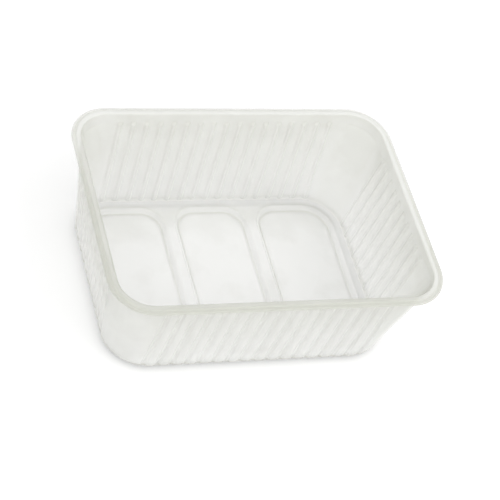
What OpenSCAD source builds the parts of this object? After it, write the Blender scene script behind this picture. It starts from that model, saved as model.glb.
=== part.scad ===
// Thermoformed food tub: one sheet of clear plastic drawn into a fluted box with a flanged rim.
// The origin is the centre of the footprint on the table, +Z is up and X runs along the long side.
// The surface is one closed chain of rings: out from the base panels under the tub, up the
// outside, over the rim, down the inside and back across the floor to the panels.

/* [Overall size] */
// Length of the rim, left to right
rim_length = 187; // [150:1:260]
// Width of the rim, front to back
rim_width = 140; // [120:1:200]
// Height from the table to the top of the rim
tub_height = 67; // [40:1:110]
// Thickness of the formed sheet
sheet = 0.7; // [0.4:0.05:1.2]

/* [Rim] */
// Width of the flange, from the inside wall to the outer edge
flange_w = 5.6; // [4.8:0.1:9]
// Radius of the rim's outer corners
rim_corner_r = 23; // [18:0.5:30]
// Width of the raised sealing land, from the inside wall outwards
land_w = 2.9; // [2:0.1:3.2]
// Radius where the inside wall rolls over onto the sealing land
land_edge_r = 0.9; // [0.4:0.1:1.2]
// Drop from the sealing land to the outer part of the flange
land_drop = 0.4; // [0.2:0.1:1]
// Width of the slope between the sealing land and the outer part
land_slope = 0.6; // [0.3:0.1:0.9]
// Height of the lip turned down at the outer edge
lip_h = 1.1; // [1:0.1:3]
// Radius where the flange turns down into the lip
lip_r = 0.9; // [0.3:0.1:1]

/* [Walls] */
// Lean of the walls, in degrees from upright
draft = 6.5; // [3:0.5:10]
// Radius of the wall's corners at the foot
foot_corner_r = 24; // [18:0.5:30]
// Radius between the walls and the base
foot_r = 2.2; // [1.6:0.1:5]
// Plain band of wall under the rim
shoulder_h = 5; // [3:0.5:12]

/* [Flutes] */
// Distance between neighbouring flutes
flute_pitch = 7.76; // [5.5:0.02:14]
// Width of a flute across its mouth
flute_w = 3.8; // [2:0.1:5]
// Depth of a flute into the wall
flute_depth = 1.1; // [0.4:0.1:1.6]
// Length over which a flute fades out at the top
flute_fade = 2.5; // [1:0.5:6]
// Plain wall from the end of each side to its first flute, along the rim
plain_end = 25.7; // [20:0.1:40]

/* [Base panels] */
// Drop of the three base panels below the ledge around them
panel_drop = 2.5; // [1:0.1:5]
// Width of the sloping side of a panel
panel_slope = 3.4; // [2:0.1:5]
// Width of the ledge between the panels and around them
ledge_w = 3.9; // [2.5:0.1:7]
// Width of the middle panel, across the tops of its slopes
middle_panel_w = 45.9; // [36:0.1:60]
// Radius of the panel corners beside the ledges between the panels
panel_corner_r = 11.5; // [5:0.5:14]

/* [Hidden] */

// Half size of the inside wall at the height of the rim
inner_x = rim_length / 2 - flange_w;
inner_y = rim_width / 2 - flange_w;
inner_corner_r = rim_corner_r - flange_w;

// Heights of the base, measured on the underside
ledge_z = panel_drop;
foot_top_z = ledge_z + foot_r;
flute_top_z = tub_height - shoulder_h;
land_edge_z = tub_height - land_edge_r;

// Steps along each round stretch
corner_steps = 12;
panel_corner_steps = 6;

// Half width of the ledge's centre line between two panels
web_x = (middle_panel_w + ledge_w) / 2;

// Flutes: where the middle of each lies, and points across one flute. A point has its place as
// a share of the half width and its depth as a share of the full depth.
long_run = 2 * (inner_x - plain_end);
short_run = 2 * (inner_y - plain_end);
flute_section = [[-1, 0], [-0.45, 0.85], [0, 1], [0.45, 0.85], [1, 0]];
function flute_centres(run) =
    let (count = floor(run / flute_pitch) + 1)
    [for (i = [0 : count - 1]) (i - (count - 1) / 2) * flute_pitch];
function stations(run) =
    [for (middle = flute_centres(run), s = flute_section) [middle + s[0] * flute_w / 2, s[1]]];
long_stations = stations(long_run);
short_stations = stations(short_run);

// Plain wall kept between the last flute and the start of a corner's arc
arc_gap = 1;
function last_station(row) = row[len(row) - 1][0];
function backwards(row) = [for (i = [len(row) - 1 : -1 : 0]) row[i]];

// Half size and corner radius of a level of the wall; push is the offset outwards
function level_inset(z) = (tub_height - z) * tan(draft);
function level_x(z, push) = inner_x - level_inset(z) + push;
function level_y(z, push) = inner_y - level_inset(z) + push;
function level_r(z, push) =
    inner_corner_r + push
    + (foot_corner_r - sheet - inner_corner_r) * (tub_height - z) / (tub_height - ledge_z);

// Position of a side at a point along it, where the side may already curve into the corner
function side_at(along, half_along, half_across, r) =
    let (past = max(0, abs(along) - (half_along - r)))
    half_across - r + sqrt(max(0, r * r - past * past));

// First angle of a corner's arc, measured from the side that the stations belong to. The
// stations may reach into the arc by a share of its radius.
arc_reach = 0.7;
function arc_start(row, half_along, r) =
    asin(min(arc_reach, max(0, last_station(row) + arc_gap - (half_along - r)) / r));

// Corner arc between two angles, as seen from above and turning to the left
function corner_arc(cx, cy, r, from, to) =
    [for (i = [0 : corner_steps])
        let (a = from + (to - from) * i / corner_steps)
        [cx + r * cos(a), cy + r * sin(a)]];

// Outline of the wall with its flutes: depth is the share of the full flute depth
function fluted_outline(hx, hy, r, depth) =
    let (
        cx = hx - r,
        cy = hy - r,
        from_long = arc_start(long_stations, hx, r),
        from_short = arc_start(short_stations, hy, r),
        cut = depth * flute_depth
    )
    concat(
        [for (s = short_stations) [side_at(s[0], hy, hx, r) - cut * s[1], s[0]]],
        corner_arc(cx, cy, r, from_short, 90 - from_long),
        [for (s = backwards(long_stations)) [s[0], side_at(s[0], hx, hy, r) - cut * s[1]]],
        corner_arc(-cx, cy, r, 90 + from_long, 180 - from_short),
        [for (s = backwards(short_stations)) [-side_at(s[0], hy, hx, r) + cut * s[1], s[0]]],
        corner_arc(-cx, -cy, r, 180 + from_short, 270 - from_long),
        [for (s = long_stations) [s[0], -side_at(s[0], hx, hy, r) + cut * s[1]]],
        corner_arc(cx, -cy, r, 270 + from_long, 360 - from_short)
    );

// Plain outline of the rim and the base, with a point where each ledge between panels meets it
function plain_outline(hx, hy, r) =
    let (cx = hx - r, cy = hy - r)
    concat(
        corner_arc(cx, cy, r, 0, 90),
        [[web_x, hy], [-web_x, hy]],
        corner_arc(-cx, cy, r, 90, 180),
        corner_arc(-cx, -cy, r, 180, 270),
        [[-web_x, -hy], [web_x, -hy]],
        corner_arc(cx, -cy, r, 270, 360)
    );

function at_height(outline, z) = [for (p = outline) [p[0], p[1], z]];

// A ring of the wall at height z, where line_z is the height that sets its size
function fluted_ring(z, line_z, push, depth) =
    at_height(
        fluted_outline(level_x(line_z, push), level_y(line_z, push), level_r(line_z, push), depth),
        z
    );
function plain_ring(z, line_z, push) =
    at_height(
        plain_outline(level_x(line_z, push), level_y(line_z, push), level_r(line_z, push)),
        z
    );

// Foot radius: rho is the radius of this face, angle 0 at the base and 90 at the wall
inner_foot_r = max(0.3, foot_r - sheet);
function foot_push(rho, angle) = sheet - foot_r + rho * sin(angle);
function foot_z(rho, angle) = foot_top_z - rho * cos(angle);

// Flat strip between the end of the foot radius and the plain outline of the ledge
ledge_strip = 0.4;

// Rings from the base upwards; face is 1 outside and 0 inside
function foot_rho(face) = face == 1 ? foot_r : inner_foot_r;
function ledge_ring(face) =
    plain_ring(foot_z(foot_rho(face), 0), foot_top_z, foot_push(foot_rho(face), 0) - ledge_strip);
// Share of the full flute depth halfway round the foot radius
foot_flute_depth = 0.5;
function wall_rings(face) =
    let (rho = foot_rho(face), skin = face * sheet)
    [
        fluted_ring(foot_z(rho, 0), foot_top_z, foot_push(rho, 0), 0),
        fluted_ring(foot_z(rho, 45), foot_top_z, foot_push(rho, 45), foot_flute_depth),
        fluted_ring(foot_top_z, foot_top_z, skin, 1),
        fluted_ring(flute_top_z - flute_fade, flute_top_z - flute_fade, skin, 1),
        fluted_ring(flute_top_z, flute_top_z, skin, 0)
    ];

// Rim section: offset outwards from the inside wall, and height. It runs from the outside wall
// under the flange, round the lip and back over the top to the inside wall.
least_bend_r = 0.1;
under_edge_r = max(least_bend_r, land_edge_r - sheet);
under_lip_r = max(least_bend_r, lip_r - sheet);
under_top_z = tub_height - sheet;
under_edge_z = under_top_z - under_edge_r;
outer_top_z = tub_height - land_drop;
under_outer_z = outer_top_z - sheet;
lip_foot_z = outer_top_z - lip_h;
lip_inside = flange_w - sheet;
step_end = land_w + land_slope;
// Sideways shift of a bend between its two faces
step_shift = sheet * tan(atan(land_drop / land_slope) / 2);
half_bend = 1 - cos(45);
rim_section = [
    [sheet - level_inset(under_edge_z), under_edge_z],
    [sheet + under_edge_r, under_top_z],
    [land_w - step_shift, under_top_z],
    [step_end - step_shift, under_outer_z],
    [lip_inside - under_lip_r, under_outer_z],
    [lip_inside, under_outer_z - under_lip_r],
    [lip_inside, lip_foot_z],
    [flange_w, lip_foot_z],
    [flange_w, outer_top_z - lip_r],
    [flange_w - lip_r * half_bend, outer_top_z - lip_r * half_bend],
    [flange_w - lip_r, outer_top_z],
    [step_end, outer_top_z],
    [land_w, tub_height],
    [land_edge_r, tub_height],
    [land_edge_r * half_bend, tub_height - land_edge_r * half_bend],
    [-level_inset(land_edge_z), land_edge_z]
];
rim_rings = [
    for (p = rim_section)
        at_height(plain_outline(inner_x + p[0], inner_y + p[0], inner_corner_r + p[0]), p[1])
];

// Base panels: the line where the ledge meets the foot radius bounds them
panel_end_x = level_x(foot_top_z, foot_push(0, 0)) - ledge_w;
panel_end_y = level_y(foot_top_z, foot_push(0, 0)) - ledge_w;
outer_panel_r = level_r(foot_top_z, foot_push(0, 0)) - ledge_w;
web_corner_r = panel_corner_r + panel_slope;
panels = [
    // left edge, right edge, corner radius at the left, corner radius at the right
    [web_x + ledge_w / 2, panel_end_x, web_corner_r, outer_panel_r],
    [-middle_panel_w / 2, middle_panel_w / 2, web_corner_r, web_corner_r],
    [-panel_end_x, -web_x - ledge_w / 2, outer_panel_r, web_corner_r]
];
// Sloping side of a panel: share of the slope's width, share of the drop
panel_section = [[0, 0], [0.28, 0.14], [0.72, 0.86], [1, 1]];

function panel_arc(cx, cy, r, from) =
    [for (i = [0 : panel_corner_steps])
        let (a = from + 90 * i / panel_corner_steps)
        [cx + r * cos(a), cy + r * sin(a)]];
function panel_outline(p, inset) =
    let (
        x0 = p[0] + inset,
        x1 = p[1] - inset,
        y = panel_end_y - inset,
        r0 = max(1, p[2] - inset),
        r1 = max(1, p[3] - inset)
    )
    concat(
        panel_arc(x1 - r1, y - r1, r1, 0),
        panel_arc(x0 + r0, y - r0, r0, 90),
        panel_arc(x0 + r0, r0 - y, r0, 180),
        panel_arc(x1 - r1, r1 - y, r1, 270)
    );
// Rings of one panel from the ledge down to the panel's floor; lift is 0 below and sheet above
function panel_rings(p, lift) =
    [for (s = panel_section)
        at_height(panel_outline(p, s[0] * panel_slope), ledge_z - s[1] * panel_drop + lift)];
function panel_middle(p) = [(p[0] + p[1]) / 2, 0];

// Faces between rings. Every list of points is numbered from a first index, and every face
// turns to the left as seen from outside the plastic.
function numbers(first, count) = [for (i = [0 : count - 1]) first + i];
function band(lower, upper) =
    let (n = len(lower))
    [for (i = [0 : n - 1]) each [
        [lower[i], lower[(i + 1) % n], upper[(i + 1) % n]],
        [lower[i], upper[(i + 1) % n], upper[i]]
    ]];
function bands(rings) = [for (i = [0 : len(rings) - 2]) each band(rings[i], rings[i + 1])];

// Direction of each point from a middle, and the list started at its lowest direction
function bearings(points, ring, middle) =
    [for (k = ring) atan2(points[k][1] - middle[1], points[k][0] - middle[0])];
function lowest(angles) =
    let (least = min(angles))
    [for (i = [0 : len(angles) - 1]) if (angles[i] == least) i][0];
function started_at(list, k) = [for (i = [0 : len(list) - 1]) list[(i + k) % len(list)]];

// Whether the next triangle is shorter when it takes the next point of the first ring
function first_is_nearer(points, a, b, i, j) =
    let (n = len(a), m = len(b))
    j >= m || (i < n
        && norm(points[a[(i + 1) % n]] - points[b[j % m]])
            <= norm(points[a[i % n]] - points[b[(j + 1) % m]]));

// Triangles between two rings with different numbers of points, both seen from one middle
function stitch(points, ring_a, ring_b, middle) =
    let (
        a = started_at(ring_a, lowest(bearings(points, ring_a, middle))),
        b = started_at(ring_b, lowest(bearings(points, ring_b, middle))),
        n = len(a),
        m = len(b)
    )
    [for (
        i = 0, j = 0, step_a = first_is_nearer(points, a, b, 0, 0);
        i + j < n + m;
        i = i + (step_a ? 1 : 0), j = j + (step_a ? 0 : 1),
        step_a = first_is_nearer(points, a, b, i, j)
    )
        step_a
            ? [a[i % n], a[(i + 1) % n], b[j % m]]
            : [a[i % n], b[(j + 1) % m], b[j % m]]
    ];

// The three cells of the ledge, cut along the centre lines between the panels
arc_points = corner_steps + 1;
function cells(ring) =
    let (
        far_right = arc_points,
        far_left = far_right + 1,
        near_left = far_left + 2 * arc_points + 1,
        near_right = near_left + 1,
        last = near_right + arc_points
    )
    [
        concat(
            [for (i = [near_right : last]) ring[i]],
            [for (i = [0 : far_right]) ring[i]]
        ),
        [ring[far_right], ring[far_left], ring[near_left], ring[near_right]],
        [for (i = [far_left : near_left]) ring[i]]
    ];

// The whole skin. Ring sizes give each ring its first index in one list of points.
under_panels = [for (p = panels) each backwards(panel_rings(p, 0))];
over_panels = [for (p = panels) each panel_rings(p, sheet)];
wall_chain = concat(
    [ledge_ring(1)],
    wall_rings(1),
    rim_rings,
    backwards(wall_rings(0)),
    [ledge_ring(0)]
);
all_rings = concat(under_panels, wall_chain, over_panels);
ring_starts = [
    for (i = 0, first = 0; i < len(all_rings); first = first + len(all_rings[i]), i = i + 1) first
];
points = [for (ring = all_rings) each ring];
ring_numbers = [for (i = [0 : len(all_rings) - 1]) numbers(ring_starts[i], len(all_rings[i]))];

slope_rings = len(panel_section);
wall_first = len(panels) * slope_rings;
wall_last = wall_first + len(wall_chain) - 1;
over_first = wall_last + 1;

function chain_faces(from, to) =
    [for (i = [from : to - 1])
        each len(all_rings[i]) == len(all_rings[i + 1])
            ? band(ring_numbers[i], ring_numbers[i + 1])
            : stitch(points, ring_numbers[i], ring_numbers[i + 1], [0, 0])];
function panel_group(first, k) =
    [for (i = [0 : slope_rings - 1]) ring_numbers[first + k * slope_rings + i]];

under_cells = cells(ring_numbers[wall_first]);
over_cells = cells(ring_numbers[wall_last]);
under_faces = [
    for (k = [0 : len(panels) - 1])
        let (group = panel_group(0, k), middle = panel_middle(panels[k]))
        each concat(
            [backwards(group[0])],
            bands(group),
            stitch(points, group[slope_rings - 1], under_cells[k], middle)
        )
];
over_faces = [
    for (k = [0 : len(panels) - 1])
        let (group = panel_group(over_first, k), middle = panel_middle(panels[k]))
        each concat(
            stitch(points, over_cells[k], group[0], middle),
            bands(group),
            [group[slope_rings - 1]]
        )
];
faces = concat(under_faces, chain_faces(wall_first, wall_last), over_faces);

// The one moulded piece
module tub() {
    color([0.88, 0.91, 0.87, 0.8])
        polyhedron(points = points, faces = [for (f = faces) backwards(f)], convexity = 6);
}

tub();
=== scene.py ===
"""Looks of the plastic food tub: one formed sheet of milky polypropylene on a pale floor.

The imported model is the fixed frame. The sheet is modelled again with fine rings, so that its
flutes, bends and corners are smooth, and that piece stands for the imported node. Sizes of the
tub are in millimetres here, and a finished mesh is in metres.
"""

import logging
import math
from dataclasses import dataclass, field
from enum import Enum
from typing import Callable, Sequence

import bmesh
import bpy
from mathutils import Matrix, Vector, noise


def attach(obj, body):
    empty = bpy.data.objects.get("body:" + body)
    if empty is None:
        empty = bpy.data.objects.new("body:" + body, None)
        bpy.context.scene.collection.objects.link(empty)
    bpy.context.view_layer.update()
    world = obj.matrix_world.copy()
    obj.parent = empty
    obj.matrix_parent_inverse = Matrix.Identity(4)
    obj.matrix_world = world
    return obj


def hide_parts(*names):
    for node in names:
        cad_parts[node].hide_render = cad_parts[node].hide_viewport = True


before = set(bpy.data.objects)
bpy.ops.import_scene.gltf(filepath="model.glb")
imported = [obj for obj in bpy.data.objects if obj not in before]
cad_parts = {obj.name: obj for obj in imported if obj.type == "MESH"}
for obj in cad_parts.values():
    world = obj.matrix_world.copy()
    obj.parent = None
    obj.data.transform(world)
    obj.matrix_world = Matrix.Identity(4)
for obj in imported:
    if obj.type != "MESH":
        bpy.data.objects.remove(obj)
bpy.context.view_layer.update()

LOG = logging.getLogger("tub")
MM = 0.001
ROOT = "root"
TUB_NODE = "tub"
# Doubles are merged at these distances, in millimetres
MERGE = 0.01
SPINE_MERGE = 0.2
# Points this close to a height, in millimetres, lie on it
LEVEL_GAP = 1e-4
# Point attribute that says how milky the sheet is: 0 where it is drawn thin, about 1 in a bend.
# It also holds painted shade: dark lines along bends, the foot and the flutes, and darker inside
# corners, far panel ends and front and left rim.
MILK_AND_SHADE = "milk"


class Face(Enum):
    """Which face of the sheet a ring lies on."""

    INSIDE = 0
    OUTSIDE = 1


def smooth_step(t: float) -> float:
    """Ease from 0 to 1 with level ends.

    Args:
        t: Share of the way, clamped to 0 and 1.

    Returns:
        The eased share.
    """
    t = min(1.0, max(0.0, t))
    return t * t * (3.0 - 2.0 * t)


def soft_bend(t: float) -> float:
    """Ease from 0 to 1 with level ends and a steeper middle, as a pressed slope has.

    Args:
        t: Share of the way across the slope.

    Returns:
        Share of the drop.
    """
    return t * t * t * (t * (6.0 * t - 15.0) + 10.0)


def spread(start: float, end: float, steps: int) -> list[float]:
    """Even values from start to end.

    Args:
        start: First value.
        end: Last value.
        steps: Number of gaps between values.

    Returns:
        The steps + 1 values.
    """
    return [start + (end - start) * i / steps for i in range(steps + 1)]


@dataclass(frozen=True)
class Ring:
    """Points of one ring, in millimetres, and how milky the sheet is at each."""

    points: list[Vector]
    milk: list[float]


@dataclass(frozen=True)
class Level:
    """Half sizes and corner radius of one level of the tub, in millimetres."""

    half_x: float
    half_y: float
    radius: float

    def grown(self, push: float) -> "Level":
        """Return this level set outwards by push."""
        return Level(self.half_x + push, self.half_y + push, self.radius + push)


@dataclass(frozen=True)
class TubSizes:
    """Sizes of the real tub, in millimetres."""

    rim_length: float = 187.0
    rim_width: float = 140.0
    height: float = 67.0
    sheet: float = 0.7
    flange: float = 5.6
    rim_corner: float = 23.0
    draft: float = math.radians(6.5)
    foot_corner: float = 24.0
    foot: float = 2.2
    shoulder: float = 5.0
    panel_drop: float = 2.5

    @property
    def inside(self) -> Level:
        """Inside wall at the height of the rim."""
        return Level(
            self.rim_length / 2 - self.flange,
            self.rim_width / 2 - self.flange,
            self.rim_corner - self.flange,
        )

    @property
    def foot_top(self) -> float:
        """Height at which the wall meets the foot radius."""
        return self.panel_drop + self.foot

    @property
    def inside_foot(self) -> float:
        """Radius of the foot on the inside face."""
        return self.foot - self.sheet

    def inset(self, z: float) -> float:
        """Return how far the wall stands in at height z, for its lean."""
        return (self.height - z) * math.tan(self.draft)

    def level(self, z: float, push: float) -> Level:
        """Size the wall at one height.

        Args:
            z: Height above the table.
            push: Offset outwards from the inside face.

        Returns:
            The level's half sizes and corner radius.
        """
        wider = self.foot_corner - self.sheet - self.inside.radius
        share = (self.height - z) / (self.height - self.panel_drop)
        plain = self.inside.grown(push)
        inset = self.inset(z)
        return Level(plain.half_x - inset, plain.half_y - inset, plain.radius + wider * share)


@dataclass(frozen=True)
class Flutes:
    """Upright grooves pressed into the walls, in millimetres."""

    pitch: float = 7.76
    width: float = 3.8
    depth: float = 1.1
    fade: float = 2.5
    plain_end: float = 25.7
    points: int = 12
    roundness: float = 1.72
    # The two milk values below darken the middle of each groove and its upper end, where it
    # fades: painted shade.
    milk: float = 0.06
    end_milk_and_shade: float = 0.35

    def stations(self, half_side: float) -> list[tuple[float, float]]:
        """Place the points along one side.

        Args:
            half_side: Half length of the side at the rim.

        Returns:
            Place along the side and share of the full depth, for each point.
        """
        count = int(2 * (half_side - self.plain_end) / self.pitch) + 1
        row: list[tuple[float, float]] = []
        for k in range(count):
            middle = (k - (count - 1) / 2) * self.pitch
            if row:
                row.append((middle - self.pitch / 2, 0.0))
            for u in spread(-1.0, 1.0, self.points):
                share = 0.5 + 0.5 * math.cos(math.pi * abs(u) ** self.roundness)
                row.append((middle + u * self.width / 2, share))
        return row


@dataclass
class Outline:
    """The tub's outline as seen from above, with the same points at every level."""

    sizes: TubSizes
    flutes: Flutes
    corner_steps: int = 22
    arc_gap: float = 0.6
    arc_reach: float = 0.7

    def __post_init__(self) -> None:
        """Place the points along a long and a short side."""
        self.long_side = self.flutes.stations(self.sizes.inside.half_x)
        self.short_side = self.flutes.stations(self.sizes.inside.half_y)

    def arc_start(self, row: Sequence[tuple[float, float]], half: float, radius: float) -> float:
        """Find where a corner's arc begins after the last point of a side.

        Args:
            row: The side's points.
            half: Half length of the side at this level.
            radius: Corner radius at this level.

        Returns:
            Angle into the corner, in radians.
        """
        reach = max(0.0, row[-1][0] + self.arc_gap - (half - radius)) / radius
        return math.asin(min(self.arc_reach, reach))

    @staticmethod
    def side(along: float, half_along: float, half_across: float, radius: float) -> float:
        """Return the side's distance from the middle at a point that may lie in the corner."""
        past = max(0.0, abs(along) - (half_along - radius))
        return half_across - radius + math.sqrt(max(0.0, radius * radius - past * past))

    def ring(self, level: Level, z: float, milk: float, depth: float = 0.0,
             line: float = 0.0, turn: float = 0.0) -> Ring:
        """Lay out one ring of points, turning to the left as seen from above.

        Args:
            level: Size of the level.
            z: Height of the ring.
            milk: How milky the sheet is between the flutes.
            depth: Share of the full depth of the flutes.
            line: Milkiness that the middle of a flute adds, as painted shade.
            turn: Milkiness that the middle of a corner adds; painted shade where it darkens and
                painted light where it lightens.

        Returns:
            The ring.
        """
        hx, hy, r = level.half_x, level.half_y, level.radius
        cut = depth * self.flutes.depth
        from_long = self.arc_start(self.long_side, hx, r)
        from_short = self.arc_start(self.short_side, hy, r)
        right = [(self.side(y, hy, hx, r) - cut * s, y) for y, s in self.short_side]
        back = [(x, self.side(x, hx, hy, r) - cut * s) for x, s in reversed(self.long_side)]
        corner = [
            (hx - r + r * math.cos(a), hy - r + r * math.sin(a))
            for a in spread(from_short, math.pi / 2 - from_long, self.corner_steps)
        ]
        turned = [(-x, y) for x, y in reversed(corner)]
        half = right + corner + back + turned
        plain = [milk + turn * smooth_step(4 * t) * smooth_step(4 * (1 - t))
                 for t in spread(0.0, 1.0, self.corner_steps)]
        half_milk = ([milk + line * s for _, s in self.short_side] + plain
                     + [milk + line * s for _, s in reversed(self.long_side)] + plain)
        return Ring([Vector((x, y, z)) for x, y in half]
                    + [Vector((-x, -y, z)) for x, y in half], 2 * half_milk)


@dataclass(frozen=True)
class RimSection:
    """Section of the flange: a raised sealing land, a step and a lip, in millimetres."""

    land: float = 2.9
    land_edge: float = 0.9
    land_drop: float = 0.4
    land_slope: float = 0.6
    lip: float = 1.1
    lip_edge: float = 0.9
    under_edge: float = 0.2
    cut_edge: float = 0.12
    bend: float = 0.16
    knee: float = 0.6
    knee_fall: float = 0.03
    mid_fall: float = 0.02
    # Milkiness of each part of the section; the values also paint dark shade bands along the
    # rim's bends and lip.
    root_milk: float = 0.85
    land_milk: float = 0.6
    flange_milk: float = 1.12
    lip_milk: float = 0.8
    bend_milk_and_shade: float = 1.0
    # The four values below paint shade on the front and left of the rim, and light on the lip's
    # outer edge at the back and right.
    front_shade_gain: float = 2.0
    left_shade_gain: float = 0.45
    land_shade_sway: float = -0.15
    lip_light_sway: float = 0.5

    def points(self, sizes: TubSizes) -> list[tuple[float, float, float]]:
        """Draw the section from the outside wall, round the lip, to the inside wall.

        Args:
            sizes: The tub's sizes.

        Returns:
            Offset outwards from the inside wall, height and milkiness, for each point.
        """
        top, skin = sizes.height, sizes.sheet
        outer = top - self.land_drop
        end = self.land + self.land_slope
        shift = skin * math.tan(math.atan2(self.land_drop, self.land_slope) / 2)
        foot = outer - self.lip
        inner = sizes.flange - skin
        lean = math.degrees(sizes.draft)
        root, land, flange, lip = (self.root_milk, self.land_milk, self.flange_milk,
                                   self.lip_milk)
        path: list[tuple[float, float, float]] = []
        path += self.arc(skin + self.under_edge, top - skin - self.under_edge,
                         self.under_edge, (180.0 - lean, 90.0), (root, land), 3)
        path += self.step((self.land - shift, top - skin), (end - shift, outer - skin))
        path += self.arc(inner - self.under_edge, outer - skin - self.under_edge,
                         self.under_edge, (90.0, 0.0), (flange, lip), 3)
        path += self.arc(inner + self.cut_edge, foot + self.cut_edge,
                         self.cut_edge, (180.0, 270.0), (lip, lip), 2)
        path += self.arc(sizes.flange - self.cut_edge, foot + self.cut_edge,
                         self.cut_edge, (270.0, 360.0), (lip, lip), 2)
        path += self.arc(sizes.flange - self.lip_edge, outer - self.lip_edge,
                         self.lip_edge, (0.0, 90.0), (lip, flange), 7)
        path += reversed(self.step((self.land, top), (end, outer)))
        path += self.arc(self.land_edge, top - self.land_edge,
                         self.land_edge, (90.0, 180.0 - lean), (land, root), 7)
        return path

    def milk_and_side_shade_at(self, milk: float, place: Vector, offset: float, sizes: TubSizes) -> float:
        """Shift the section's milkiness by side: painted shade makes the front and left of the
        rim darker, and painted light makes the lip's outer edge at the back and right lighter.

        Args:
            milk: Milkiness of the plain section.
            place: A point of the rim.
            offset: The point's offset outwards from the inside wall.
            sizes: The tub's sizes.

        Returns:
            The milkiness at the point.
        """
        side = (-self.front_shade_gain * 2 * place.y / sizes.rim_width
                - self.left_shade_gain * 2 * place.x / sizes.rim_length)
        if side > 0:
            land = self.land_milk * (1.0 - self.land_shade_sway * side)
            return land + (milk - self.land_milk) * (1.0 + side)
        return milk * max(0.0, 1.0 + self.lip_light_sway * side * (offset / sizes.flange) ** 4)

    def milk(self, share: float, ends: tuple[float, float]) -> float:
        """Return the milkiness at a share of the way round a bend, from its ends' values, with
        painted shade added in the bend's middle.
        """
        flat = ends[0] + (ends[1] - ends[0]) * share
        return flat + max(0.0, self.bend_milk_and_shade - max(ends)) * math.sin(math.pi * share)

    def arc(self, x: float, z: float, r: float, turn: tuple[float, float],
            milk: tuple[float, float], steps: int) -> list[tuple[float, float, float]]:
        """Lay points along an arc of the section.

        Args:
            x: Middle of the arc, outwards from the inside wall.
            z: Height of the middle.
            r: Radius.
            turn: First and last angle, in degrees.
            milk: Milkiness at the two ends.
            steps: Number of gaps between points.

        Returns:
            Offset, height and milkiness of each point.
        """
        shares = spread(0.0, 1.0, steps)
        turns = [math.radians(turn[0] + (turn[1] - turn[0]) * t) for t in shares]
        return [(x + r * math.cos(a), z + r * math.sin(a), self.milk(t, milk))
                for t, a in zip(shares, turns)]

    def step(self, start: tuple[float, float],
             end: tuple[float, float]) -> list[tuple[float, float, float]]:
        """Lay points down the slope from the land to the flange, with softly bent ends.

        Args:
            start: Offset and height of the upper bend.
            end: Offset and height of the lower bend.

        Returns:
            Offset, height and milkiness of each point.
        """
        (x0, z0), (x1, z1) = start, end
        run, fall, bend = x1 - x0, z1 - z0, self.bend
        places = [
            (x0 - 2 * bend, z0),
            (x0 - self.knee * bend, z0 + self.knee_fall * fall),
            (x0 + bend, z0 + (bend / run) * fall + self.mid_fall * fall),
            (x1 - bend, z1 - (bend / run) * fall - self.mid_fall * fall),
            (x1 + self.knee * bend, z1 - self.knee_fall * fall),
            (x1 + 2 * bend, z1),
        ]
        last = len(places) - 1
        return [(x, z, self.land_milk + (self.flange_milk - self.land_milk) * i / last)
                for i, (x, z) in enumerate(places)]


@dataclass(frozen=True)
class Panel:
    """One base panel at the height of the ledge, in millimetres."""

    left: float
    right: float
    half_y: float
    left_corner: float
    right_corner: float

    @property
    def half_across(self) -> float:
        """Half of the panel's shorter side."""
        return min((self.right - self.left) / 2, self.half_y)


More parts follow.
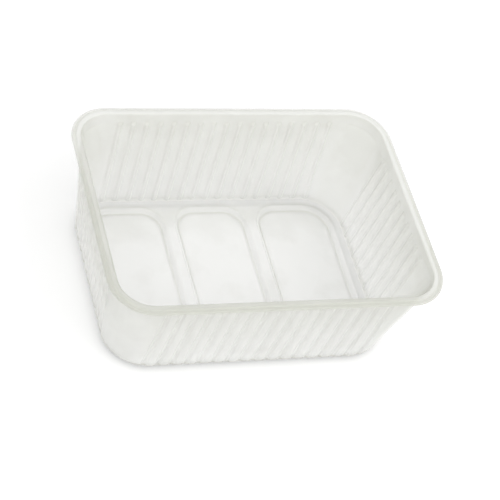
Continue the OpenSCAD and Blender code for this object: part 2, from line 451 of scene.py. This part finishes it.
@dataclass(frozen=True)
class BasePanels:
    """The three panels pressed down into the base, in millimetres."""

    slope: float = 3.4
    ledge: float = 3.9
    middle: float = 45.9
    web_corner: float = 11.5
    support: float = 0.3
    arc_steps: int = 13
    side_step: float = 2.4
    slope_steps: int = 10
    floor_steps: int = 12
    floor_edge: tuple[float, ...] = (0.4, 0.8, 1.3)
    least_corner: float = 0.02
    spine_gap: float = 0.05
    rise_width: float = 9.0
    crown: float = 0.22
    ripple: float = 0.1
    ripple_size: float = 17.0
    # The fields from here on paint shade on the panels: a dark line along the slope's foot and
    # near the ledge, a darker far top edge and a darker far end.
    line_width: float = 0.56
    line_inset: float = 0.2
    far_edge_shade_start: float = 0.7
    far_edge_shade_run: float = 0.25
    far_shade_start: float = 0.35
    far_shade_run: float = 0.6
    far_edge_shade: float = 0.6
    ledge_milk: float = 0.02
    line_milk_and_shade: float = 0.6
    far_shade: float = 0.24

    def panels(self, sizes: TubSizes) -> list[Panel]:
        """Place the panels inside the ledge.

        Args:
            sizes: The tub's sizes.

        Returns:
            Left, middle and right panel.
        """
        ends = sizes.level(sizes.foot_top, sizes.sheet - sizes.foot).grown(-self.ledge)
        web = self.web_corner + self.slope
        near = self.middle / 2
        far = near + self.ledge
        return [
            Panel(-ends.half_x, -far, ends.half_y, ends.radius, web),
            Panel(-near, near, ends.half_y, web, web),
            Panel(far, ends.half_x, ends.half_y, web, ends.radius),
        ]

    def outline(self, panel: Panel, inset: float) -> list[tuple[float, float]]:
        """Lay out a ring of one panel.

        Args:
            panel: The panel.
            inset: Distance in from the panel's edge, negative outside it.

        Returns:
            The ring's points, turning to the left as seen from above.
        """
        x0, x1, y1 = panel.left + inset, panel.right - inset, panel.half_y - inset
        r0 = max(self.least_corner, panel.left_corner - inset)
        r1 = max(self.least_corner, panel.right_corner - inset)
        r0, r1 = min(r0, (x1 - x0) / 2, y1), min(r1, (x1 - x0) / 2, y1)
        corners = [(x1 - r1, y1 - r1, r1, 0), (x0 + r0, y1 - r0, r0, 90),
                   (x0 + r0, r0 - y1, r0, 180), (x1 - r1, r1 - y1, r1, 270)]
        along_x = max(2, round((panel.right - panel.left) / self.side_step / 2))
        along_y = max(2, round(panel.half_y / self.side_step))
        ring: list[tuple[float, float]] = []
        for k, (cx, cy, r, start) in enumerate(corners):
            arc = [(cx + r * math.cos(math.radians(a)), cy + r * math.sin(math.radians(a)))
                   for a in spread(start, start + 90, self.arc_steps)]
            ring += arc
            nx, ny, nr, turn = corners[(k + 1) % 4]
            after = (nx + nr * math.cos(math.radians(turn)),
                     ny + nr * math.sin(math.radians(turn)))
            steps = along_x if k % 2 == 0 else along_y
            for t in spread(0.0, 1.0, steps)[1:-1]:
                ring.append((arc[-1][0] + (after[0] - arc[-1][0]) * t,
                             arc[-1][1] + (after[1] - arc[-1][1]) * t))
        return ring

    def floor_lift(self, panel: Panel, x: float, y: float, inset: float) -> float:
        """Say how far a formed floor stands up from flat at a point.

        Args:
            panel: The panel.
            x: Place along the tub.
            y: Place across the tub.
            inset: Distance in from the panel's edge.

        Returns:
            The height above flat.
        """
        rise = smooth_step((inset - self.slope) / self.rise_width)
        place = Vector((x / self.ripple_size, y / self.ripple_size, panel.left))
        return rise * (self.crown * rise + self.ripple * (0.5 + 0.5 * noise.noise(place)))

    def milk(self, panel: Panel, y: float, inset: float) -> float:
        """Say how milky the sheet is at a point of a panel, with painted shade: most along the
        slope's foot, and more at the far top edge and towards the far end.

        Args:
            panel: The panel.
            y: Place across the tub.
            inset: Distance in from the panel's edge.

        Returns:
            The milkiness.
        """
        foot = math.exp(-((inset - self.slope) / self.line_width) ** 2)
        top = math.exp(-((inset - self.line_inset) / self.line_width) ** 2)
        far = smooth_step((y / panel.half_y - self.far_edge_shade_start) / self.far_edge_shade_run)
        ledge = self.ledge_milk * (1.0 - smooth_step(inset / self.slope))
        # Painted shade, growing towards the far end of the panel.
        cloud = self.far_shade * smooth_step(
            (y / panel.half_y - self.far_shade_start) / self.far_shade_run)
        return ledge + cloud + self.line_milk_and_shade * (foot + self.far_edge_shade * far * top)

    def rings(self, panel: Panel, sizes: TubSizes, face: Face) -> list[Ring]:
        """Lay out the rings of one panel, from the ledge to the middle of its floor.

        Args:
            panel: The panel.
            sizes: The tub's sizes.
            face: Face of the sheet.

        Returns:
            The rings, outermost first.
        """
        lift = sizes.sheet if face is Face.INSIDE else 0.0
        shares = spread(0.0, 1.0, self.slope_steps)
        rows = [(-self.support, 0.0)] + [(t * self.slope, soft_bend(t)) for t in shares]
        inmost = panel.half_across - self.spine_gap
        start = self.slope + self.floor_edge[-1]
        rows += [(self.slope + edge, 1.0) for edge in self.floor_edge[:-1]]
        rows += [(start + (inmost - start) * t, 1.0)
                 for t in spread(0.0, 1.0, self.floor_steps)]
        rings = []
        for inset, fall in rows:
            places = self.outline(panel, inset)
            height = sizes.panel_drop * (1 - fall) + lift
            rings.append(Ring(
                [Vector((x, y, height + self.floor_lift(panel, x, y, inset))) for x, y in places],
                [self.milk(panel, y, inset) for _, y in places]))
        return rings


def loft(bm: bmesh.types.BMesh, rings: Sequence[Ring]) -> list[bmesh.types.BMVert]:
    """Bend a flat grid of faces into a band that passes through rings of points.

    Args:
        bm: The mesh that the band is added to. Its seam is merged with the other doubles.
        rings: Rings with the same number of points each.

    Returns:
        The vertices of the last ring.
    """
    around, rows = len(rings[0].points), len(rings)
    layer = bm.verts.layers.float[MILK_AND_SHADE]
    made = bmesh.ops.create_grid(bm, x_segments=around, y_segments=rows - 1, size=0.5)
    last = []
    for vert in made["verts"]:
        i = round((vert.co.x + 0.5) * around)
        j = round((vert.co.y + 0.5) * (rows - 1))
        vert.co = rings[j].points[i % around]
        vert[layer] = rings[j].milk[i % around]
        if j == rows - 1:
            last.append(vert)
    return last


def open_edges(bm: bmesh.types.BMesh, test: Callable[[Vector], bool]) -> list[bmesh.types.BMEdge]:
    """Return the open edges whose two ends pass a test."""
    return [e for e in bm.edges if e.is_boundary and all(test(v.co) for v in e.verts)]


@dataclass
class FormedTub:
    """The tub: one sheet, drawn into a fluted box with a flanged rim.

    Each pair of milk values is for the inside and the outside face.
    """

    sizes: TubSizes = field(default_factory=TubSizes)
    flutes: Flutes = field(default_factory=Flutes)
    rim: RimSection = field(default_factory=RimSection)
    base: BasePanels = field(default_factory=BasePanels)
    ledge_strip: float = 0.4
    foot_steps: int = 8
    wall_steps: int = 6
    fade_steps: int = 5
    low_milk: tuple[float, float] = (0.3, 0.1)
    high_milk: tuple[float, float] = (0.9, 0.6)
    # Painted shade in the middle of each corner on the inside face, and painted light on the
    # outside face.
    corner_shade_and_light: tuple[float, float] = (0.3, -0.3)
    shoulder_milk: float = 0.8
    # Painted shade: a dark line round the outside face of the foot; the inside face is kept
    # light.
    foot_milk_and_shade: tuple[float, float] = (0.1, 1.4)
    foot_fall: float = 0.65
    foot_band: float = 1.1
    name: str = "formed_tub"

    def __post_init__(self) -> None:
        """Lay out the ring that every level of the wall shares."""
        self.outline = Outline(self.sizes, self.flutes)

    @property
    def foot_edge(self) -> Level:
        """Outline along which the foot rounds over into the underside."""
        s = self.sizes
        return s.level(s.foot_top, s.sheet - s.foot)

    def foot_rise(self, a: float) -> float:
        """Return the share of the foot's milkiness and painted shade at an angle round the foot,
        in radians.
        """
        if a < math.pi / 4:
            return math.sin(2 * a)
        return 1.0 - self.foot_fall * smooth_step(4 * a / math.pi - 1.0)

    def wall_rings(self, face: Face) -> list[Ring]:
        """Lay out one face of the wall from the ledge up to the plain shoulder.

        Args:
            face: Face of the sheet.

        Returns:
            The rings, lowest first.
        """
        s = self.sizes
        outside = face is Face.OUTSIDE
        rho, skin = (s.foot, s.sheet) if outside else (s.inside_foot, 0.0)
        low, high = self.low_milk[face.value], self.high_milk[face.value]
        corner = self.corner_shade_and_light[face.value]
        rings = [self.outline.ring(s.level(s.foot_top, s.sheet - s.foot - self.ledge_strip),
                                   s.foot_top - rho, self.base.ledge_milk)]
        for a in spread(0.0, math.pi / 2, self.foot_steps):
            push = s.sheet - s.foot + rho * math.sin(a)
            milk = low + (self.foot_milk_and_shade[face.value] - low) * self.foot_rise(a)
            rings.append(self.outline.ring(s.level(s.foot_top, push),
                                           s.foot_top - rho * math.cos(a), milk,
                                           math.sin(a) ** 2, self.flutes.milk, corner))
        flute_end = s.height - s.shoulder
        fade_from = flute_end - self.flutes.fade
        for t in spread(0.0, 1.0, self.wall_steps):
            z = s.foot_top + self.foot_band + (fade_from - s.foot_top - self.foot_band) * t
            rings.append(self.outline.ring(s.level(z, skin), z, low + (high - low) * t, 1.0,
                                           self.flutes.milk, corner))
        for t in spread(0.0, 1.0, self.fade_steps)[1:]:
            z = fade_from + (flute_end - fade_from) * t
            milk = high + (self.shoulder_milk - high) * smooth_step(t)
            line = self.flutes.milk * (1 - t) + self.flutes.end_milk_and_shade * math.sin(math.pi * t)
            rings.append(self.outline.ring(s.level(z, skin), z, milk, 1.0 - smooth_step(t), line,
                                           corner * (1.0 - t)))
        return rings

    def rim_rings(self) -> list[Ring]:
        """Lay out the flange, from the outside wall round the lip to the inside wall.

        Returns:
            The rings, in that order.
        """
        rings = []
        for offset, z, milk in self.rim.points(self.sizes):
            ring = self.outline.ring(self.sizes.inside.grown(offset), z, milk)
            rings.append(Ring(ring.points, [
                self.rim.milk_and_side_shade_at(milk, place, offset, self.sizes) for place in ring.points]))
        return rings

    def build(self) -> bpy.types.Object:
        """Make the tub's mesh.

        Returns:
            The object, in place and in metres.
        """
        bm = bmesh.new()
        bm.verts.layers.float.new(MILK_AND_SHADE)
        loft(bm, self.wall_rings(Face.OUTSIDE) + self.rim_rings()
             + list(reversed(self.wall_rings(Face.INSIDE))))
        for face in Face:
            for panel in self.base.panels(self.sizes):
                spine = loft(bm, self.base.rings(panel, self.sizes, face))
                bmesh.ops.remove_doubles(bm, verts=spine, dist=SPINE_MERGE)
        bmesh.ops.remove_doubles(bm, verts=bm.verts, dist=MERGE)
        for face in Face:
            lift = self.sizes.sheet if face is Face.INSIDE else 0.0
            ledge = self.sizes.panel_drop + lift
            flat = open_edges(bm, lambda co, z=ledge: abs(co.z - z) < LEVEL_GAP)
            bmesh.ops.triangle_fill(bm, use_beauty=True, edges=flat, normal=(0, 0, 1))
        bmesh.ops.recalc_face_normals(bm, faces=bm.faces)
        bmesh.ops.scale(bm, vec=(MM, MM, MM), verts=bm.verts)
        for f in bm.faces:
            f.smooth = True
        mesh = bpy.data.meshes.new(self.name)
        open_left = sum(1 for e in bm.edges if not e.is_manifold)
        LOG.info("%s: %d faces, %.2f cm3, %d open edges", self.name, len(bm.faces),
                 bm.calc_volume(signed=True) * 1e6, open_left)
        bm.to_mesh(mesh)
        bm.free()
        tub = bpy.data.objects.new(self.name, mesh)
        bpy.context.scene.collection.objects.link(tub)
        return tub


class Signal:
    """A shader value that adds Math nodes when it is used in an expression."""

    def __init__(self, graph: "ShaderGraph", socket: bpy.types.NodeSocket) -> None:
        """Keep the graph and the socket that the value comes from."""
        self.graph = graph
        self.socket = socket

    def _maths(self, operation: str, *values: "Signal | float") -> "Signal":
        """Add one Math node and return its result."""
        node = self.graph.node("ShaderNodeMath", {"operation": operation},
                               dict(enumerate(values)))
        return Signal(self.graph, node.outputs[0])

    def __add__(self, other: "Signal | float") -> "Signal":
        """Return self + other."""
        return self._maths("ADD", self, other)

    __radd__ = __add__

    def __mul__(self, other: "Signal | float") -> "Signal":
        """Return self * other."""
        return self._maths("MULTIPLY", self, other)

    __rmul__ = __mul__

    def __sub__(self, other: "Signal | float") -> "Signal":
        """Return self - other."""
        return self._maths("SUBTRACT", self, other)

    def __rsub__(self, other: "Signal | float") -> "Signal":
        """Return other - self."""
        return self._maths("SUBTRACT", other, self)

    def __pow__(self, other: "Signal | float") -> "Signal":
        """Return self to the power of other."""
        return self._maths("POWER", self, other)

    def __rpow__(self, other: "Signal | float") -> "Signal":
        """Return other to the power of self."""
        return self._maths("POWER", other, self)

    def __abs__(self) -> "Signal":
        """Return self without its sign."""
        return self._maths("ABSOLUTE", self)

    def __gt__(self, other: "Signal | float") -> "Signal":
        """Return 1 where self is greater than other, and else 0."""
        return self._maths("GREATER_THAN", self, other)

    def at_least(self, other: "Signal | float") -> "Signal":
        """Return the greater of self and other."""
        return self._maths("MAXIMUM", self, other)


class ShaderGraph:
    """Builds the nodes of one material or world."""

    def __init__(self, tree: bpy.types.NodeTree) -> None:
        """Empty the node tree that is built."""
        self.tree = tree
        tree.nodes.clear()

    def node(self, kind: str, settings: dict | None = None,
             inputs: dict | None = None) -> bpy.types.Node:
        """Add one node.

        Args:
            kind: The node's type.
            settings: Its own properties, set first.
            inputs: Socket names or numbers, with a value, a socket or a Signal each.

        Returns:
            The node.
        """
        node = self.tree.nodes.new(kind)
        for key, value in (settings or {}).items():
            if key == "stops":
                self.set_stops(node.color_ramp, value)
            else:
                setattr(node, key, value)
        for key, value in (inputs or {}).items():
            value = value.socket if isinstance(value, Signal) else value
            if isinstance(value, bpy.types.NodeSocket):
                self.tree.links.new(value, node.inputs[key])
            else:
                node.inputs[key].default_value = value
        return node

    @staticmethod
    def set_stops(ramp: bpy.types.ColorRamp, stops: Sequence[tuple[float, float]]) -> None:
        """Give a ramp grey stops.

        Args:
            ramp: The ramp.
            stops: Place and brightness of each stop.
        """
        while len(ramp.elements) < len(stops):
            ramp.elements.new(1.0)
        for element, (place, grey) in zip(ramp.elements, stops):
            element.position = place
            element.color = (grey, grey, grey, 1.0)

    def noise(self, place: bpy.types.NodeSocket, scale: float, detail: float = 2.0) -> Signal:
        """Return a noise value over a place, at a scale in repeats per metre."""
        node = self.node("ShaderNodeTexNoise", {}, {"Vector": place, "Scale": scale,
                                                    "Detail": detail})
        return Signal(self, node.outputs["Fac"])

    def seen(self) -> Signal:
        """Tell what the eye sees, directly, in a gloss or through a clear face.

        Returns:
            1 for a ray that is seen, and else 0.
        """
        path = self.node("ShaderNodeLightPath")
        rays = [Signal(self, path.outputs[f"Is {kind} Ray"])
                for kind in ("Camera", "Glossy", "Transmission")]
        return rays[0] + rays[1] + rays[2]

    def blend(self, share: Signal | float, first: bpy.types.Node,
              second: bpy.types.Node) -> bpy.types.Node:
        """Return a mix of two shaders, with this share of the second."""
        return self.node("ShaderNodeMixShader", {}, {
            0: share, 1: first.outputs[0], 2: second.outputs[0]})

    def mixed(self, share: Signal | float, first: Sequence[float],
              second: Sequence[float]) -> bpy.types.NodeSocket:
        """Return a mix of two colours."""
        node = self.node("ShaderNodeMix", {"data_type": "RGBA"},
                         {0: share, 6: (*first, 1.0), 7: (*second, 1.0)})
        return node.outputs[2]


@dataclass(frozen=True)
class MilkyPlastic:
    """Natural polypropylene: each face of the sheet passes some light and scatters the rest.

    A slanting look crosses more of the sheet, so edges are milkier and look darker. Bends are
    milkier and darker through the milk attribute, partly as painted shade.
    """

    name: str = "milky_polypropylene"
    pale: tuple[float, float, float] = (0.985, 0.985, 0.98)
    deep: tuple[float, float, float] = (0.69, 0.695, 0.635)
    window: tuple[float, float, float] = (0.99, 0.99, 0.987)
    clear: float = 0.7
    milk_and_shade_path: float = 0.8
    forward: float = 0.18
    roughness: float = 0.22
    head_on: float = 0.035
    glancing: float = 0.2
    edge_path: float = 2.2
    edge_power: float = 5.0
    cloudiness: float = 1.0
    cloud_middle: float = 0.52
    cloud_scale: float = 50.0
    cloud_detail: float = 5.0
    grain_scale: float = 700.0
    grain_strength: float = 0.25
    grain_height: float = 0.00004
    gloss_scale: float = 140.0
    gloss_range: float = 0.1

    def material(self) -> bpy.types.Material:
        """Build the material.

        Returns:
            The material.
        """
        made = bpy.data.materials.new(self.name)
        made.use_nodes = True
        graph = ShaderGraph(made.node_tree)
        place = graph.node("ShaderNodeTexCoord").outputs["Object"]
        # drawn reads the milk attribute: milkiness with painted shade in it, which darkens the
        # colour and passes less light.
        drawn = Signal(graph, graph.node(
            "ShaderNodeAttribute", {"attribute_name": MILK_AND_SHADE}).outputs["Fac"])
        cloud = self.cloudiness * (
            graph.noise(place, self.cloud_scale, self.cloud_detail) - self.cloud_middle)
        colour = graph.mixed(drawn + cloud * (1.0 - 2.0 * drawn), self.pale, self.deep)
        grain = graph.noise(place, self.grain_scale)
        bump = graph.node("ShaderNodeBump", {}, {
            "Strength": self.grain_strength, "Distance": self.grain_height,
            "Height": grain}).outputs["Normal"]
        weight = graph.node("ShaderNodeLayerWeight", {}, {"Blend": 0.5})
        facing = Signal(graph, weight.outputs["Facing"])
        path = (1.0 + self.milk_and_shade_path * drawn) * (
            1.0 + self.edge_path * facing ** self.edge_power)
        passed = self.clear ** path
        shine = self.head_on + (self.glancing - self.head_on) * facing ** self.edge_power
        rough = (self.roughness - self.gloss_range / 2
                 + self.gloss_range * graph.noise(place, self.gloss_scale))
        spread_back = graph.node("ShaderNodeBsdfDiffuse", {}, {"Color": colour, "Normal": bump})
        spread_on = graph.node("ShaderNodeBsdfTranslucent", {}, {"Color": colour, "Normal": bump})
        glare = graph.node("ShaderNodeBsdfAnisotropic", {}, {
            "Color": (1.0, 1.0, 1.0, 1.0), "Roughness": rough, "Normal": bump})
        window = graph.node("ShaderNodeBsdfTransparent", {}, {"Color": (*self.window, 1.0)})
        milk = graph.blend(self.forward, spread_back, spread_on)
        film = graph.blend(passed, milk, window)
        skin = graph.blend(shine, film, glare)
        graph.node("ShaderNodeOutputMaterial", {}, {"Surface": skin.outputs[0]})
        return made


@dataclass(frozen=True)
class PaleFloor:
    """The white floor, which keeps the tub's shadow and has a painted shadow round its foot.

    The two lengths of the painted shadow are in millimetres, from the outline of the foot's edge.
    """

    foot: Level
    half_size: float = 8.0
    colour: float = 0.9
    lift: float = 0.135
    painted_contact_shadow: float = 0.27
    painted_shadow_reach: float = 2.9
    painted_shadow_under: float = 2.5

    def build(self) -> bpy.types.Object:
        """Make the floor.

        Returns:
            The floor object.
        """
        bm = bmesh.new()
        bmesh.ops.create_grid(bm, x_segments=1, y_segments=1, size=self.half_size)
        mesh = bpy.data.meshes.new("floor")
        bm.to_mesh(mesh)
        bm.free()
        floor = bpy.data.objects.new("floor", mesh)
        bpy.context.scene.collection.objects.link(floor)
        mesh.materials.append(self.material())
        return floor

    def material(self) -> bpy.types.Material:
        """Build a matte white that shows as white to the eye, with the shadow kept.

        Returns:
            The material.
        """
        made = bpy.data.materials.new("pale_floor")
        made.use_nodes = True
        graph = ShaderGraph(made.node_tree)
        shade = self.shade(graph)
        colour = graph.mixed(shade, (self.colour,) * 3, (0.0, 0.0, 0.0))
        paint = graph.node("ShaderNodeBsdfDiffuse", {}, {"Color": colour})
        glow = graph.node("ShaderNodeEmission", {}, {
            "Color": (1.0, 1.0, 1.0, 1.0),
            "Strength": self.lift * graph.seen() * (1.0 - shade)})
        both = graph.node("ShaderNodeAddShader", {}, {0: paint.outputs[0], 1: glow.outputs[0]})
        graph.node("ShaderNodeOutputMaterial", {}, {"Surface": both.outputs[0]})
        return made

    def shade(self, graph: ShaderGraph) -> Signal:
        """Paint the shadow on the floor close to the tub's foot, where little light gets in.

        Args:
            graph: Nodes of the floor's material.

        Returns:
            Share of the light that the painted shadow takes away.
        """
        place = graph.node("ShaderNodeTexCoord").outputs["Object"]
        parts = graph.node("ShaderNodeSeparateXYZ", {}, {0: place})
        halves = (self.foot.half_x - self.foot.radius, self.foot.half_y - self.foot.radius)
        past_x, past_y = (
            (abs(Signal(graph, parts.outputs[k]) * (1.0 / MM)) - half).at_least(0.0)
            for k, half in enumerate(halves))
        away = (past_x ** 2.0 + past_y ** 2.0) ** 0.5 - self.foot.radius
        fall = math.exp(-1.0 / self.painted_shadow_reach) ** away.at_least(0.0)
        return self.painted_contact_shadow * (away > -self.painted_shadow_under) * fall


@dataclass(frozen=True)
class SoftBox:
    """One soft lamp, aimed at the tub."""

    name: str
    place: tuple[float, float, float]
    size: float
    watts: float

    def build(self) -> bpy.types.Object:
        """Make the lamp.

        Returns:
            The lamp object.
        """
        lamp = bpy.data.lights.new(self.name, "AREA")
        lamp.shape = "DISK"
        lamp.size = self.size
        lamp.energy = self.watts
        obj = bpy.data.objects.new(self.name, lamp)
        obj.location = self.place
        obj.rotation_euler = Vector(self.place).to_track_quat("Z", "Y").to_euler()
        bpy.context.scene.collection.objects.link(obj)
        return obj


@dataclass(frozen=True)
class Studio:
    """Plain soft light: a pale dome, brighter at the front, and a wide soft lamp."""

    dome: float = 1.17
    horizon: float = 0.42
    front: float = 0.68
    left: float = 0.04
    sky_top: float = 0.75
    lamps: tuple[SoftBox, ...] = (
        SoftBox("key_lamp", (0.8, -0.5, 1.2), 1.2, 2.0),
    )

    def build(self) -> None:
        """Light the scene."""
        world = bpy.data.worlds.new("dome")
        world.use_nodes = True
        bpy.context.scene.world = world
        graph = ShaderGraph(world.node_tree)
        way = graph.node("ShaderNodeTexCoord").outputs["Generated"]
        parts = graph.node("ShaderNodeSeparateXYZ", {}, {0: way})
        ramp = graph.node("ShaderNodeValToRGB", {
            "stops": [(0.0, self.horizon), (self.sky_top, 1.0)]}, {"Fac": parts.outputs["Z"]})
        from_front = (1.0 - self.front * Signal(graph, parts.outputs["Y"])
                      - self.left * Signal(graph, parts.outputs["X"]))
        sky = graph.node("ShaderNodeBackground", {}, {
            "Color": ramp.outputs["Color"], "Strength": self.dome * from_front})
        white = graph.node("ShaderNodeBackground", {}, {
            "Color": (1.0, 1.0, 1.0, 1.0), "Strength": 1.0})
        both = graph.blend(graph.seen(), sky, white)
        graph.node("ShaderNodeOutputWorld", {}, {"Surface": both.outputs[0]})
        for lamp in self.lamps:
            lamp.build()


@dataclass(frozen=True)
class PhotoCamera:
    """The camera, at the photograph's viewing angle. Lengths are in millimetres.

    The focal length and the photograph's width are in pixels, and the clip distances in metres.
    """

    azimuth: float = -32.065
    elevation: float = 47.504
    roll: float = 23.252
    distance: float = 1005.489
    shift: tuple[float, float] = (-13.465, -16.99)
    focal: float = 1790.8
    photo_width: float = 500.0
    sensor: float = 36.0
    clip: tuple[float, float] = (0.05, 20.0)

    def build(self) -> bpy.types.Object:
        """Make the camera and look through it.

        Returns:
            The camera object.
        """
        az, el, roll = (math.radians(a) for a in (self.azimuth, self.elevation, self.roll))
        back = Vector((math.sin(az) * math.cos(el), -math.cos(az) * math.cos(el),
                       math.sin(el)))
        level_right = Vector((math.cos(az), math.sin(az), 0.0))
        level_up = back.cross(level_right)
        right = math.cos(roll) * level_right + math.sin(roll) * level_up
        up = math.cos(roll) * level_up - math.sin(roll) * level_right
        turn = Matrix((right, up, back)).transposed()
        place = turn @ Vector((-self.shift[0], -self.shift[1], self.distance)) * MM
        lens = bpy.data.cameras.new("photo_camera")
        lens.sensor_fit = "HORIZONTAL"
        lens.sensor_width = self.sensor
        lens.lens = self.focal / self.photo_width * self.sensor
        lens.clip_start, lens.clip_end = self.clip
        camera = bpy.data.objects.new("photo_camera", lens)
        camera.matrix_world = Matrix.Translation(place) @ turn.to_4x4()
        bpy.context.scene.collection.objects.link(camera)
        bpy.context.scene.camera = camera
        return camera


def main() -> None:
    """Build the tub, its finish, the floor, the light and the camera."""
    logging.basicConfig(level=logging.INFO, format="%(name)s: %(message)s")
    bpy.context.scene.view_settings.view_transform = "Standard"
    PhotoCamera().build()
    formed = FormedTub()
    tub = formed.build()
    tub.data.materials.append(MilkyPlastic().material())
    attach(tub, ROOT)
    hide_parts(TUB_NODE)
    LOG.info("piece %s rides on %s", tub.name, ROOT)
    PaleFloor(formed.foot_edge).build()
    Studio().build()


if __name__ == "__main__":
    main()
